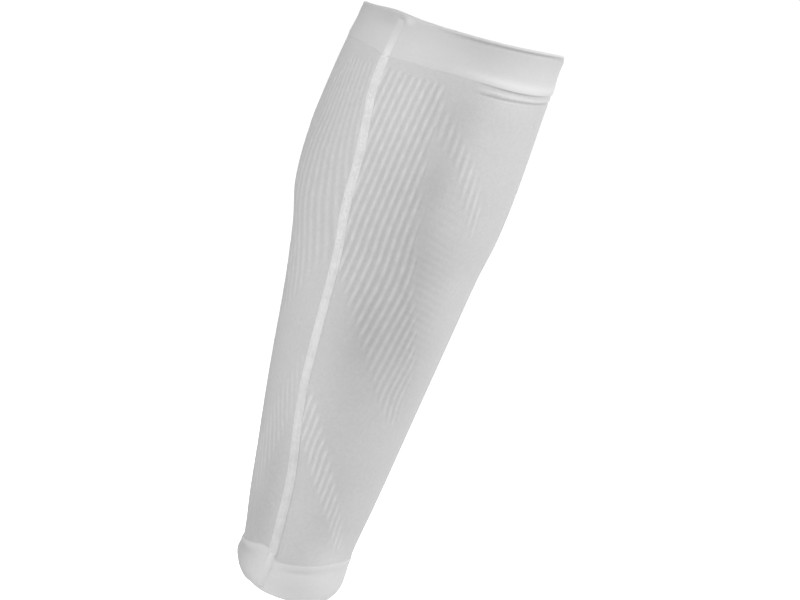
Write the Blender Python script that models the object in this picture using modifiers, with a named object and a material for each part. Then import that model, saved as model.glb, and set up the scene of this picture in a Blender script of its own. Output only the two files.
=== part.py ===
"""Calf compression sleeve in its worn form: a knitted tube with raised ribs, a folded cuff at each end
and a flat seam up the back. Metres. +Z runs up the leg, -Y is the back of the calf, where the seam is,
and +X is the outer side of the leg. Heights start at the bottom hem, and the leg's axis is the Z axis."""

import math
from collections import namedtuple

import bmesh
import bpy
from mathutils import Vector

# Driving sizes of the worn form
LENGTH = 0.3325
ANKLE_WIDTH = 0.060
CALF_WIDTH = 0.1188
TOP_WIDTH = 0.1154

# Cloth
WALL = 0.0012
CUFF_WALL = 0.0021
CUFF_PROUD = 0.0004
TOP_CUFF_HEIGHT = 0.021
BOTTOM_CUFF_HEIGHT = 0.0205
BOTTOM_CUFF_BULGE = 0.0012
HEM_CURL = 0.0026
CUFF_RIDGE = 0.0004
CLEARANCE = 0.0003

# Ribs
RIB_PITCH = 0.0042
RIB_HEIGHT = 0.0005
RIB_DRIFT = 0.0265
RIB_END = 0.0028

# Back seam
SEAM_WIDTH = 0.0052
SEAM_THICKNESS = 0.0009
SEAM_WANDER = 0.0070
SEAM_ON_CUFF_WIDTH = 0.0044
SEAM_ON_CUFF_THICKNESS = 0.0005

# How the two rims lie out of level
HEM_TILT = 0.0045
HEM_TURN = math.radians(130)
RIM_TILT = 0.0018
RIM_DIP = 0.0075
RIM_DIP_TURN = math.radians(222)
RIM_DIP_POWER = 4

# The section is fuller behind than at the shin by this share
EGG = 0.03

# Sections up the leg. Height is a share of LENGTH, the next three say how much of each named width the
# section takes, depth is a share of that width, and back and side are shares of CALF_WIDTH.
Section = namedtuple("Section", "height ankle calf top depth back side")
SECTIONS = (
    Section(0.00, 0.99, 0.00, 0.00, 1.130, 0.008, 0.000),
    Section(0.07, 1.00, 0.00, 0.00, 1.130, 0.007, 0.002),
    Section(0.16, 0.85, 0.145, 0.00, 1.120, 0.016, -0.001),
    Section(0.34, 0.60, 0.40, 0.00, 1.100, 0.030, -0.006),
    Section(0.51, 0.36, 0.64, 0.00, 1.080, 0.040, -0.009),
    Section(0.61, 0.20, 0.80, 0.00, 1.075, 0.050, -0.012),
    Section(0.68, 0.06, 0.94, 0.00, 1.070, 0.057, -0.013),
    Section(0.77, 0.00, 1.00, 0.00, 1.060, 0.053, -0.011),
    Section(0.90, 0.00, 0.58, 0.42, 1.020, 0.030, -0.004),
    Section(1.00, 0.00, 0.00, 0.99, 1.000, 0.000, 0.007),
)

# Sideways path of the seam up the back: height is a share of LENGTH, aside a share of SEAM_WANDER.
Bend = namedtuple("Bend", "height aside")
SEAM_PATH = (
    Bend(0.00, 0.55),
    Bend(0.08, 0.75),
    Bend(0.20, 1.00),
    Bend(0.36, 0.36),
    Bend(0.50, 0.36),
    Bend(0.62, 0.64),
    Bend(0.75, 0.60),
    Bend(0.81, 0.10),
    Bend(0.88, -0.65),
    Bend(1.00, -0.86),
)
SEAM_REACH = 0.020

# Corners of the ribbed zones, going round each. Around is a share of half the girth at that height,
# counted from the seam, and height is a share of LENGTH.
Corner = namedtuple("Corner", "around height")
MAIN_ZONE = (
    Corner(-0.30, 0.915),
    Corner(0.167, 0.915),
    Corner(0.188, 0.831),
    Corner(0.246, 0.689),
    Corner(0.279, 0.574),
    Corner(0.403, 0.459),
    Corner(0.440, 0.332),
    Corner(0.029, 0.565),
    Corner(-0.30, 0.75),
)
ARM_ZONE = (
    Corner(0.160, 0.917),
    Corner(0.417, 0.755),
    Corner(0.417, 0.704),
    Corner(0.395, 0.704),
    Corner(0.180, 0.858),
)
LOW_ZONE = (
    Corner(0.030, 0.378),
    Corner(0.172, 0.278),
    Corner(0.445, 0.097),
    Corner(0.400, 0.097),
    Corner(0.034, 0.296),
)
ZONES = (MAIN_ZONE, ARM_ZONE, LOW_ZONE)
RIB_TOP = 0.915
RIB_FOOT = 0.09
RIB_DRIFT_POWER = 1.55

# Mesh counts
SPARE_RIB_COLUMNS = 2
PLAIN_COLUMNS = 8
BODY_ROWS = 13
LEAST_ACROSS = 0.35
CUFF_SIDES = 48
SEAM_ROWS = 26

COLLECTION = "calf_compression_sleeve"


def clear_scene():
    for old in list(bpy.data.objects):
        bpy.data.objects.remove(old, do_unlink=True)


def smooth_value(rows, column, height):
    """A column of a table, on a smooth curve through its rows."""
    count = len(rows)
    last = count - 2
    i = 0
    while i < last and height > rows[i + 1].height:
        i += 1

    def slope(k):
        low = max(k - 1, 0)
        high = min(k + 1, count - 1)
        rise = getattr(rows[high], column) - getattr(rows[low], column)
        return rise / (rows[high].height - rows[low].height)

    start = rows[i]
    end = rows[i + 1]
    span = end.height - start.height
    t = min(max((height - start.height) / span, 0.0), 1.0)
    from_start = getattr(start, column) * (2 * t**3 - 3 * t**2 + 1)
    to_end = getattr(end, column) * (3 * t**2 - 2 * t**3)
    leaving = slope(i) * span * (t**3 - 2 * t**2 + t)
    arriving = slope(i + 1) * span * (t**3 - t**2)
    return from_start + to_end + leaving + arriving


def smooth_step(start, end, value):
    t = min(max((value - start) / (end - start), 0.0), 1.0)
    return t * t * (3 - 2 * t)


def half_sizes(height):
    """Half the width and half the depth of the section at a share of the length."""
    ankle = smooth_value(SECTIONS, "ankle", height) * ANKLE_WIDTH
    calf = smooth_value(SECTIONS, "calf", height) * CALF_WIDTH
    top = smooth_value(SECTIONS, "top", height) * TOP_WIDTH
    half_width = (ankle + calf + top) / 2
    return half_width, half_width * smooth_value(SECTIONS, "depth", height)


def mean_radius(z):
    return sum(half_sizes(z / LENGTH)) / 2


def rim_shift(angle, height):
    """How far the cloth lies above its own level: the hem tilts, and the top rim tilts and dips."""
    slant = smooth_step(-0.02, 0.06, height) * (1 - smooth_step(0.06, 0.24, height))
    hem = HEM_TILT * math.cos(angle - HEM_TURN) * slant
    dip = ((1 + math.cos(angle - RIM_DIP_TURN)) / 2) ** RIM_DIP_POWER
    rim = (RIM_TILT * math.sin(angle) - RIM_DIP * dip) * smooth_step(0.72, 0.94, height)
    return hem + rim


def leg_point(angle, z, out):
    """The point at an angle round the leg from the back, at a level, so far out of the form."""
    height = z / LENGTH
    half_width, half_depth = half_sizes(height)
    side = smooth_value(SECTIONS, "side", height) * CALF_WIDTH
    back = smooth_value(SECTIONS, "back", height) * CALF_WIDTH
    fuller = 1 + EGG * math.cos(angle)
    x = side + (half_width + out) * math.sin(angle) * fuller
    y = -back - (half_depth + out) * math.cos(angle)
    return Vector((x, y, z + rim_shift(angle, height)))


def seam_aside(z):
    return SEAM_WANDER * smooth_value(SEAM_PATH, "aside", z / LENGTH)


def wrap(around, z, out):
    """Lays a point of the flat pattern on the leg. Around is a length from the seam, and the cloth near
    the seam goes with it."""
    drawn = seam_aside(z) * math.exp(-((around / SEAM_REACH) ** 2))
    return leg_point((around + drawn) / mean_radius(z), z, out)


def top_cuff_edge():
    return LENGTH - TOP_CUFF_HEIGHT


def spaced(start, end, count):
    return [start + (end - start) * i / count for i in range(count + 1)]


def rib_pitch(z):
    """The ribs lie closer together where the leg is slimmer."""
    return RIB_PITCH * (1 + mean_radius(z) / (CALF_WIDTH / 2)) / 2


def rib_drift(z):
    fall = max(RIB_TOP - z / LENGTH, 0.0) / (RIB_TOP - RIB_FOOT)
    return RIB_DRIFT * fall**RIB_DRIFT_POWER


def rib_across(around, z):
    """A place round the leg, as a length across the ribs at full pitch. Ribs run along a constant value."""
    return (around + rib_drift(z)) * RIB_PITCH / rib_pitch(z)


def rib_around(across, z):
    return across * rib_pitch(z) / RIB_PITCH - rib_drift(z)


def pattern_corner(corner):
    z = corner.height * LENGTH
    around = corner.around * math.pi * mean_radius(z)
    return Vector((rib_across(around, z), z, 0))


def zone_outline(zone):
    return [pattern_corner(corner) for corner in zone]


def depth_inside(point, outline):
    """How far a point lies inside a zone, or below zero outside it."""
    nearest = 1.0
    inside = False
    for start, end in zip(outline, outline[1:] + outline[:1]):
        span = end - start
        share = min(max((point - start).dot(span) / span.length_squared, 0.0), 1.0)
        nearest = min(nearest, (point - start - span * share).length)
        if (start.y > point.y) != (end.y > point.y):
            crossing = start.x + span.x * (point.y - start.y) / span.y
            inside = inside != (point.x < crossing)
    return nearest if inside else -nearest


def rib_share(point, outlines):
    """How much of its full height the cloth has here: crests at odd half pitches, valleys at even ones."""
    depth = max(depth_inside(point, outline) for outline in outlines)
    half_pitches = point.x / (RIB_PITCH / 2)
    crest = 1 - abs(half_pitches % 2 - 1)
    return crest * min(max(depth / RIB_END, 0.0), 1.0)


def cut_along(pattern, start, end):
    """Cuts the faces beside one stretch of a line."""
    low = min(start.y, end.y)
    high = max(start.y, end.y)
    left = min(start.x, end.x)
    right = max(start.x, end.x)
    along = (end - start).normalized()
    across = Vector((along.y, -along.x, 0))
    faces = []
    for face in pattern.faces:
        centre = face.calc_center_median()
        if low <= centre.y <= high and left - RIB_PITCH <= centre.x <= right + RIB_PITCH:
            faces.append(face)
    edges = {edge for face in faces for edge in face.edges}
    points = {point for face in faces for point in face.verts}
    bmesh.ops.bisect_plane(
        pattern,
        geom=faces + list(edges) + list(points),
        dist=0.00001,
        plane_co=start,
        plane_no=across,
    )


def rib_column_count(outlines):
    """Enough columns, two to a rib, to reach past every ribbed zone."""
    furthest = max(corner.x for outline in outlines for corner in outline)
    return math.ceil(furthest / (RIB_PITCH / 2)) + SPARE_RIB_COLUMNS


def body_levels(count):
    """Levels of the body between the two cuffs."""
    return spaced(BOTTOM_CUFF_HEIGHT + CLEARANCE, top_cuff_edge() - CLEARANCE, count)


def pattern_grid(rib_columns):
    """A flat grid whose columns run along the ribs."""
    pattern = bmesh.new()
    columns = rib_columns + PLAIN_COLUMNS
    levels = body_levels(BODY_ROWS)
    bmesh.ops.create_grid(pattern, x_segments=columns, y_segments=BODY_ROWS, size=0.5)
    for point in pattern.verts:
        column = round((point.co.x + 0.5) * columns)
        row = round((point.co.y + 0.5) * BODY_ROWS)
        point.co = Vector((column * RIB_PITCH / 2, levels[row], 0))
    return pattern


def cut_zone_edges(pattern, outline):
    """Cuts each zone edge that crosses the ribs twice, at the edge and where the ribs reach full height."""
    for start, end in zip(outline, outline[1:] + outline[:1]):
        along = (end - start).normalized()
        if abs(along.x) < LEAST_ACROSS or max(start.x, end.x) < 0:
            continue
        inward = Vector((along.y, -along.x, 0)) * RIB_END
        cut_along(pattern, start, end)
        cut_along(pattern, start + inward, end + inward)


def cut_at_seam(pattern):
    """Cuts along the middle of the seam, row by row, and takes away what lies past it."""
    levels = body_levels(BODY_ROWS)
    middle = [Vector((rib_across(0, level), level, 0)) for level in levels]
    for start, end in zip(middle, middle[1:]):
        cut_along(pattern, start, end)
    past = []
    for face in pattern.faces:
        centre = face.calc_center_median()
        for start, end in zip(middle, middle[1:]):
            if start.y < centre.y < end.y:
                share = (centre.y - start.y) / (end.y - start.y)
                if centre.x < start.x + (end.x - start.x) * share:
                    past.append(face)
    bmesh.ops.delete(pattern, geom=past, context="FACES")


def half_body():
    """Half of the ribbed cloth as a flat pattern: x around from the seam, y up, z the rib's height. Past
    the ribbed zones the columns spread out evenly to the shin."""
    outlines = [zone_outline(zone) for zone in ZONES]
    rib_columns = rib_column_count(outlines)
    pattern = pattern_grid(rib_columns)
    cut_at_seam(pattern)
    for outline in outlines:
        cut_zone_edges(pattern, outline)
    last_rib = rib_columns * RIB_PITCH / 2
    last_column = last_rib + PLAIN_COLUMNS * RIB_PITCH / 2
    for point in pattern.verts:
        across, z = point.co.x, point.co.y
        height = RIB_HEIGHT * rib_share(point.co, outlines)
        around = rib_around(min(across, last_rib), z)
        if across > last_rib:
            shin = math.pi * mean_radius(z)
            around += (shin - around) * (across - last_rib) / (last_column - last_rib)
        if point.is_boundary and abs(around) < RIB_PITCH / 4:
            around = 0.0
        point.co = Vector((around, z, height))
    return pattern


def body():
    """The ribbed tube: the half pattern mirrored at the seam, wrapped on the leg and given its wall."""
    cloth = half_body()
    bmesh.ops.mirror(cloth, geom=cloth.verts[:] + cloth.edges[:] + cloth.faces[:], axis="X", merge_dist=0.00002)
    for point in cloth.verts:
        point.co = wrap(*point.co)
    bmesh.ops.remove_doubles(cloth, verts=cloth.verts[:], dist=0.00005)
    bmesh.ops.recalc_face_normals(cloth, faces=cloth.faces[:])
    piece = finished("body", cloth)
    wall = piece.modifiers.new("wall", "SOLIDIFY")
    wall.thickness = WALL
    wall.offset = -1
    return piece


def ring(name, profile):
    """A closed band round the leg, from a closed profile of points that hold level and distance out."""
    band = bmesh.new()
    count = len(profile)
    bmesh.ops.create_grid(band, x_segments=CUFF_SIDES, y_segments=count, size=0.5)
    for point in band.verts:
        angle = (point.co.x + 0.5) * 2 * math.pi
        z, out = profile[round((point.co.y + 0.5) * count) % count]
        point.co = leg_point(angle, z, out)
    bmesh.ops.remove_doubles(band, verts=band.verts[:], dist=0.00001)
    bmesh.ops.recalc_face_normals(band, faces=band.faces[:])
    return finished(name, band)


def top_cuff_out(share):
    """Outer face of the top cuff over the form, from its lower edge at 0 to the rim at 1."""
    ridge = CUFF_RIDGE * math.exp(-(((share - 0.13) / 0.12) ** 2))
    return CUFF_PROUD + ridge


def bottom_cuff_out(share):
    """Outer face of the bottom cuff over the form, from the hem at 0 to its upper edge at 1."""
    bulge = BOTTOM_CUFF_BULGE * math.sin(math.pi * min(share + 0.12, 1.0)) ** 2
    curl = HEM_CURL * max(1 - share / 0.42, 0.0) ** 2.4
    return CUFF_PROUD * smooth_step(0.0, 0.3, share) + bulge - curl


def top_cuff():
    edge = top_cuff_edge()
    inner = CUFF_PROUD - CUFF_WALL
    outside = [0.02, 0.07, 0.15, 0.28, 0.5, 0.75, 0.93]
    profile = [(edge + TOP_CUFF_HEIGHT * share, top_cuff_out(share)) for share in outside]
    profile[0] = (edge, top_cuff_out(0) - CUFF_WALL * 0.25)
    profile.append((LENGTH, CUFF_PROUD - CUFF_WALL * 0.3))
    profile.append((LENGTH, CUFF_PROUD - CUFF_WALL * 0.7))
    profile.append((LENGTH - CUFF_WALL * 0.6, inner))
    profile.append((edge + TOP_CUFF_HEIGHT * 0.5, inner))
    profile.append((edge + CUFF_WALL * 0.2, inner))
    return ring("top_cuff", profile)


def bottom_cuff():
    outside = [0.98, 0.90, 0.74, 0.56, 0.38, 0.22, 0.10, 0.03]
    profile = [(BOTTOM_CUFF_HEIGHT * share, bottom_cuff_out(share)) for share in outside]
    profile[0] = (BOTTOM_CUFF_HEIGHT, bottom_cuff_out(1) - CUFF_WALL * 0.25)
    profile.append((0.0, bottom_cuff_out(0.0) - CUFF_WALL * 0.35))
    inside = [0.05, 0.30, 0.65, 0.97]
    profile += [(BOTTOM_CUFF_HEIGHT * share, bottom_cuff_out(share) - CUFF_WALL) for share in inside]
    return ring("bottom_cuff", profile)


def tape(name, levels, width, thickness, lift):
    """A flat seam along the seam's path: lift gives how far its underside lies out of the form."""
    strip = bmesh.new()
    half = width / 2
    outline = [(-1.0, 0.0), (-1.0, 0.35), (-0.6, 0.9), (0.0, 1.0), (0.6, 0.9), (1.0, 0.35), (1.0, 0.0), (0.0, 0.0)]
    count = len(outline)
    rows = len(levels) - 1
    bmesh.ops.create_grid(strip, x_segments=count, y_segments=rows, size=0.5)
    for point in strip.verts:
        aside, rise = outline[round((point.co.x + 0.5) * count) % count]
        z = levels[round((point.co.y + 0.5) * rows)]
        around = seam_aside(z) + aside * half
        point.co = leg_point(around / mean_radius(z), z, lift(z) + rise * thickness)
    bmesh.ops.remove_doubles(strip, verts=strip.verts[:], dist=0.00001)
    bmesh.ops.holes_fill(strip, edges=strip.edges[:], sides=count)
    bmesh.ops.recalc_face_normals(strip, faces=strip.faces[:])
    return finished(name, strip)


def seams():
    """The seam in three lengths: over the body, over the top cuff and over the bottom cuff."""
    edge = top_cuff_edge()
    levels = body_levels(SEAM_ROWS)
    tape("back_seam", levels, SEAM_WIDTH, SEAM_THICKNESS, lambda z: RIB_HEIGHT + CLEARANCE)

    def over_top(z):
        return top_cuff_out((z - edge) / TOP_CUFF_HEIGHT) + CLEARANCE

    def over_bottom(z):
        return bottom_cuff_out(z / BOTTOM_CUFF_HEIGHT) + CLEARANCE

    top_levels = spaced(edge + 2 * CLEARANCE, LENGTH - CUFF_WALL, 8)
    tape("seam_top", top_levels, SEAM_ON_CUFF_WIDTH, SEAM_ON_CUFF_THICKNESS, over_top)
    low_levels = spaced(0.25 * BOTTOM_CUFF_HEIGHT, BOTTOM_CUFF_HEIGHT - 2 * CLEARANCE, 8)
    tape("seam_bottom", low_levels, SEAM_ON_CUFF_WIDTH, SEAM_ON_CUFF_THICKNESS, over_bottom)


COLOURS = {
    "body": (0.60, 0.60, 0.61),
    "top_cuff": (0.68, 0.68, 0.69),
    "bottom_cuff": (0.68, 0.68, 0.69),
    "back_seam": (0.78, 0.78, 0.79),
    "seam_top": (0.74, 0.74, 0.75),
    "seam_bottom": (0.74, 0.74, 0.75),
}
CLOTH_ROUGHNESS = 0.85


def cloth_material(name):
    material = bpy.data.materials.new(name + "_knit")
    material.use_nodes = True
    shader = material.node_tree.nodes["Principled BSDF"]
    shader.inputs["Base Color"].default_value = (*COLOURS[name], 1)
    shader.inputs["Roughness"].default_value = CLOTH_ROUGHNESS
    shader.inputs["Metallic"].default_value = 0.0
    return material


def finished(name, shape):
    mesh = bpy.data.meshes.new(name)
    shape.to_mesh(mesh)
    shape.free()
    mesh.shade_smooth()
    mesh.set_sharp_from_angle(angle=math.radians(50))
    mesh.materials.append(cloth_material(name))
    piece = bpy.data.objects.new(name, mesh)
    bpy.data.collections[COLLECTION].objects.link(piece)
    return piece


def main():
    clear_scene()
    collection = bpy.data.collections.new(COLLECTION)
    bpy.context.scene.collection.children.link(collection)
    body()
    top_cuff()
    bottom_cuff()
    seams()


main()
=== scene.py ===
"""Calf compression sleeve, dressed: a ribbed knit tube, a folded cuff at each end and a stitched flat seam,
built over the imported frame. +Z runs up the leg, -Y is the back of the calf and +X is its outer side."""

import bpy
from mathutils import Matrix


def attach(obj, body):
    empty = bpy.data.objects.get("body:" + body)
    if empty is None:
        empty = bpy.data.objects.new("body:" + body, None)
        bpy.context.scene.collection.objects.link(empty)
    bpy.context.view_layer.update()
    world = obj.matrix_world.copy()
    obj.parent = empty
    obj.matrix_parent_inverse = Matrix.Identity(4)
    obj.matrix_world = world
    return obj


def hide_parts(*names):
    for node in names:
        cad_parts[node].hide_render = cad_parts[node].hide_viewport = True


bl_info = {
    "name": "Calf Compression Sleeve",
    "version": (1, 0, 0),
    "blender": (4, 5, 0),
    "location": "3D View > Sidebar > Sleeve",
    "description": "Builds a knitted calf sleeve with ribbed zones, folded cuffs and a flat back seam",
    "category": "Object",
}

import math
from collections import namedtuple

import bmesh
import bpy
import numpy as np
from bpy.props import FloatProperty, FloatVectorProperty, IntProperty, PointerProperty
from mathutils import Matrix, Vector

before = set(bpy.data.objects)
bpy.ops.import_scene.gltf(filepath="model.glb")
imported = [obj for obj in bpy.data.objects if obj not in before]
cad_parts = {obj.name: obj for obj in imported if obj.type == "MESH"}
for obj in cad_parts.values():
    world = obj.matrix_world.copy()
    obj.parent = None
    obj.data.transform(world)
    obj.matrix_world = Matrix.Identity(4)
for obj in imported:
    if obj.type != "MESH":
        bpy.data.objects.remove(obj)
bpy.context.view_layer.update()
MM = 0.001

# Sections up the leg, from the hem at 0 to the rim at 1. The middle three say how much of the ankle's, the
# calf's and the top's width a section takes, depth is a share of that width, and back and side are shares
# of the calf's width.
Section = namedtuple("Section", "height ankle calf top depth back side")
SECTIONS = (
    Section(0.00, 0.99, 0.00, 0.00, 1.130, 0.008, 0.000),
    Section(0.07, 1.00, 0.00, 0.00, 1.130, 0.007, 0.002),
    Section(0.16, 0.85, 0.145, 0.00, 1.120, 0.016, -0.001),
    Section(0.34, 0.60, 0.40, 0.00, 1.100, 0.030, -0.006),
    Section(0.51, 0.36, 0.632, 0.00, 1.080, 0.040, -0.0045),
    Section(0.61, 0.20, 0.791, 0.00, 1.075, 0.050, -0.008),
    Section(0.68, 0.06, 0.94, 0.00, 1.070, 0.057, -0.013),
    Section(0.77, 0.00, 1.00, 0.00, 1.060, 0.053, -0.011),
    Section(0.90, 0.00, 0.58, 0.42, 1.020, 0.030, -0.004),
    Section(1.00, 0.00, 0.00, 0.99, 1.000, 0.000, 0.007),
)

# Sideways path of the seam: aside is a share of how far the seam wanders.
Bend = namedtuple("Bend", "height aside")
SEAM_PATH = (
    Bend(0.00, 0.55),
    Bend(0.08, 0.75),
    Bend(0.20, 1.00),
    Bend(0.36, 0.36),
    Bend(0.50, 0.36),
    Bend(0.62, 0.64),
    Bend(0.75, 0.60),
    Bend(0.81, 0.10),
    Bend(0.88, -0.65),
    Bend(1.00, -0.86),
)

# How the ribs of a zone run, in millimetres: at each height, the distance of one crest from the back line
# and the pitch of the crests on either side of it.
Course = namedtuple("Course", "height crest pitch")
OUTER_COURSES = (
    Course(113, 13.2, 4.25),
    Course(131, 13.2, 4.27),
    Course(151, 15.3, 4.60),
    Course(171, 20.2, 4.62),
    Course(191, 25.4, 4.68),
    Course(211, 29.4, 4.45),
    Course(231, 32.5, 4.30),
    Course(251, 34.1, 4.17),
    Course(291, 34.9, 4.10),
    Course(306, 35.2, 4.08),
)
INNER_COURSES = (
    Course(113, -3.5, 4.60),
    Course(151, -1.0, 5.00),
    Course(171, 0.5, 5.50),
    Course(191, 2.7, 5.90),
    Course(211, 5.4, 6.70),
    Course(231, 9.1, 6.10),
    Course(251, 13.5, 5.10),
    Course(271, 16.2, 3.90),
    Course(291, 18.7, 3.50),
    Course(306, 20.0, 3.40),
)
ARM_COURSES = (
    Course(225, 39.0, 4.65),
    Course(305, 34.0, 4.65),
)
LOW_OUTER_COURSES = (
    Course(31, 17.5, 3.20),
    Course(51, 19.0, 3.25),
    Course(61, 19.6, 3.43),
    Course(71, 21.2, 3.38),
    Course(81, 22.4, 3.55),
    Course(91, 23.3, 3.70),
    Course(101, 25.3, 3.85),
    Course(123, 28.6, 3.95),
)
LOW_INNER_COURSES = (
    Course(31, -6.0, 3.60),
    Course(61, 0.5, 3.80),
    Course(81, 5.0, 4.00),
    Course(91, 7.9, 4.00),
    Course(101, 11.4, 3.70),
    Course(111, 14.5, 3.80),
    Course(143, 23.5, 3.80),
)

# Corners of the ribbed zones, going round each, in millimetres: around is the distance from the back line.
Corner = namedtuple("Corner", "around height")
MAIN_CORNERS = (
    Corner(-12, 304),
    Corner(33, 304),
    Corner(36, 280),
    Corner(40, 260),
    Corner(45, 237),
    Corner(48, 212),
    Corner(50, 192),
    Corner(59, 167),
    Corner(64, 150),
    Corner(64, 114),
    Corner(57, 114),
    Corner(43, 130),
    Corner(30, 153),
    Corner(8, 189),
    Corner(-12, 206),
)
ARM_CORNERS = (
    Corner(33, 297),
    Corner(55, 278),
    Corner(66, 268),
    Corner(75, 257),
    Corner(83, 242),
    Corner(83, 226),
    Corner(76, 234),
    Corner(66, 248),
    Corner(55, 263),
    Corner(33, 282),
)
LOW_OUTER_CORNERS = (
    Corner(2, 128),
    Corner(12, 117),
    Corner(21, 99),
    Corner(30, 79),
    Corner(41, 53),
    Corner(47, 32),
    Corner(40, 32),
    Corner(32, 51),
    Corner(19, 74),
    Corner(8, 92),
    Corner(2, 104),
)
LOW_INNER_CORNERS = (
    Corner(2, 145),
    Corner(8, 129),
    Corner(13, 116),
    Corner(22, 98),
    Corner(46, 50),
    Corner(50, 32),
    Corner(40, 32),
    Corner(15, 56),
    Corner(8, 78),
    Corner(2, 102),
)

# A ribbed zone: its side of the seam, its courses, its outline, how strongly its ribs stand out, how much
# fuller its knit is, and the heights between which its ribs go from faint to clear.
Zone = namedtuple("Zone", "side courses corners strength lift faint clear")
OUTER, INNER = 1, -1
ZONES = (
    Zone(OUTER, OUTER_COURSES, MAIN_CORNERS, 1.0, 0.0, 135, 195),
    Zone(INNER, INNER_COURSES, MAIN_CORNERS, 0.55, 0.0, 135, 195),
    Zone(OUTER, ARM_COURSES, ARM_CORNERS, 0.75, 0.03, 200, 240),
    Zone(INNER, ARM_COURSES, ARM_CORNERS, 0.6, 0.0, 200, 240),
    Zone(OUTER, LOW_OUTER_COURSES, LOW_OUTER_CORNERS, 0.9, 0.11, 38, 72),
    Zone(INNER, LOW_INNER_COURSES, LOW_INNER_CORNERS, 0.55, 0.04, 38, 72),
)

# How far the top cuff's foot hangs lower, and the bottom cuff's upper edge stands higher, than their plain
# heights, in millimetres at distances from the back line.
Edge = namedtuple("Edge", "around shift")
FOOT_DIPS = (
    Edge(-60, 0.0),
    Edge(-15, 0.6),
    Edge(-7, 3.2),
    Edge(1, 2.6),
    Edge(10, 1.8),
    Edge(22, 1.9),
    Edge(32, 1.7),
    Edge(42, 1.8),
    Edge(55, 2.0),
    Edge(68, 2.2),
    Edge(84, 1.9),
    Edge(96, 1.3),
    Edge(108, 0.7),
    Edge(122, 0.2),
    Edge(180, 0.2),
)
EDGE_RISES = (
    Edge(-100, 2.0),
    Edge(-60, 3.6),
    Edge(-30, 5.4),
    Edge(-12, 7.0),
    Edge(1, 8.3),
    Edge(8, 2.0),
    Edge(14, 1.1),
    Edge(22, 1.1),
    Edge(34, 1.5),
    Edge(46, 2.2),
    Edge(100, 2.0),
)


class SleeveForm(bpy.types.PropertyGroup):
    """Sizes of the worn sleeve."""

    length: FloatProperty(name="Length", description="From the hem to the rim", default=0.3325, unit="LENGTH")
    inner_pull: FloatProperty(name="Inner Pull", description="The hem's inner side is drawn in",
                              default=0.0045, unit="LENGTH")
    ankle_width: FloatProperty(name="Ankle Width", description="Width at the ankle",
                               default=0.060, unit="LENGTH")
    calf_width: FloatProperty(name="Calf Width", description="Widest section", default=0.1188, unit="LENGTH")
    top_width: FloatProperty(name="Top Width", description="Width at the rim", default=0.1154, unit="LENGTH")
    egg: FloatProperty(name="Fullness", description="How much fuller the back is than the shin", default=0.03)
    wall: FloatProperty(name="Wall", description="Thickness of the knit", default=0.0012, unit="LENGTH")
    rib_height: FloatProperty(name="Rib Height", description="How far ribs stand out",
                              default=0.00035, unit="LENGTH")
    rib_end: FloatProperty(name="Rib End", description="Length of a rib's taper",
                           default=0.0022, unit="LENGTH")
    crease: FloatProperty(name="Crease", description="Height of the crease under the cuff",
                          default=0.0006, unit="LENGTH")
    cuff_wall: FloatProperty(name="Cuff Wall", description="Thickness of a cuff",
                             default=0.0021, unit="LENGTH")
    cuff_proud: FloatProperty(name="Cuff Proud", description="Cuffs stand out so far",
                              default=0.0004, unit="LENGTH")
    top_cuff: FloatProperty(name="Top Cuff", description="Height of the top cuff",
                            default=0.021, unit="LENGTH")
    bottom_cuff: FloatProperty(name="Bottom Cuff", description="Its height", default=0.0205, unit="LENGTH")
    flare: FloatProperty(name="Flare", description="How far the top cuff's foot flares",
                         default=0.0008, unit="LENGTH")
    bulge: FloatProperty(name="Bulge", description="How far the bottom cuff bulges",
                         default=0.0012, unit="LENGTH")
    hem_curl: FloatProperty(name="Hem Curl", description="How far the hem curls in",
                            default=0.0026, unit="LENGTH")
    seam_width: FloatProperty(name="Seam Width", description="Width of the flat seam",
                              default=0.0059, unit="LENGTH")
    seam_rise: FloatProperty(name="Seam Rise", description="Height of the flat seam",
                             default=0.0009, unit="LENGTH")
    seam_wander: FloatProperty(name="Seam Wander", description="Farthest bend of the seam",
                               default=0.007, unit="LENGTH")
    hem_tilt: FloatProperty(name="Hem Tilt", description="Slant of the hem", default=0.0045, unit="LENGTH")
    rim_tilt: FloatProperty(name="Rim Tilt", description="Slant of the rim", default=0.0018, unit="LENGTH")
    rim_dip: FloatProperty(name="Rim Dip", description="Dip at the inner shin", default=0.0075, unit="LENGTH")


class SleeveFinish(bpy.types.PropertyGroup):
    """Colours of the knit and the thread, and the size of a stitch."""

    # Each knit runs from its thin colour to its full colour with the fullness attribute, which carries
    # painted light and shade as well as how dense the knit is: the thin end also stands for painted shade,
    # the full end for painted highlight.
    body_full_and_lit: FloatVectorProperty(name="Full Knit", description="Where the body's knit is dense",
                                   subtype="COLOR", size=3, default=(0.80, 0.80, 0.80))
    body_thin_and_shaded: FloatVectorProperty(name="Thin Knit", description="Where the body's knit is stretched thin",
                                   subtype="COLOR", size=3, default=(0.44, 0.44, 0.44))
    cuff_full_and_lit: FloatVectorProperty(name="Full Cuff", description="Where a cuff's knit is dense",
                                   subtype="COLOR", size=3, default=(0.88, 0.88, 0.88))
    cuff_thin_and_shaded: FloatVectorProperty(name="Thin Cuff", description="Where a cuff's knit is stretched thin",
                                   subtype="COLOR", size=3, default=(0.55, 0.55, 0.55))
    thread: FloatVectorProperty(name="Thread", description="Thread of the seam",
                                subtype="COLOR", size=3, default=(0.83, 0.83, 0.83))
    wales: IntProperty(name="Wales", description="Columns of stitches round the leg", default=420)
    course: FloatProperty(name="Course", description="Height of one stitch", default=0.0007, unit="LENGTH")


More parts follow.
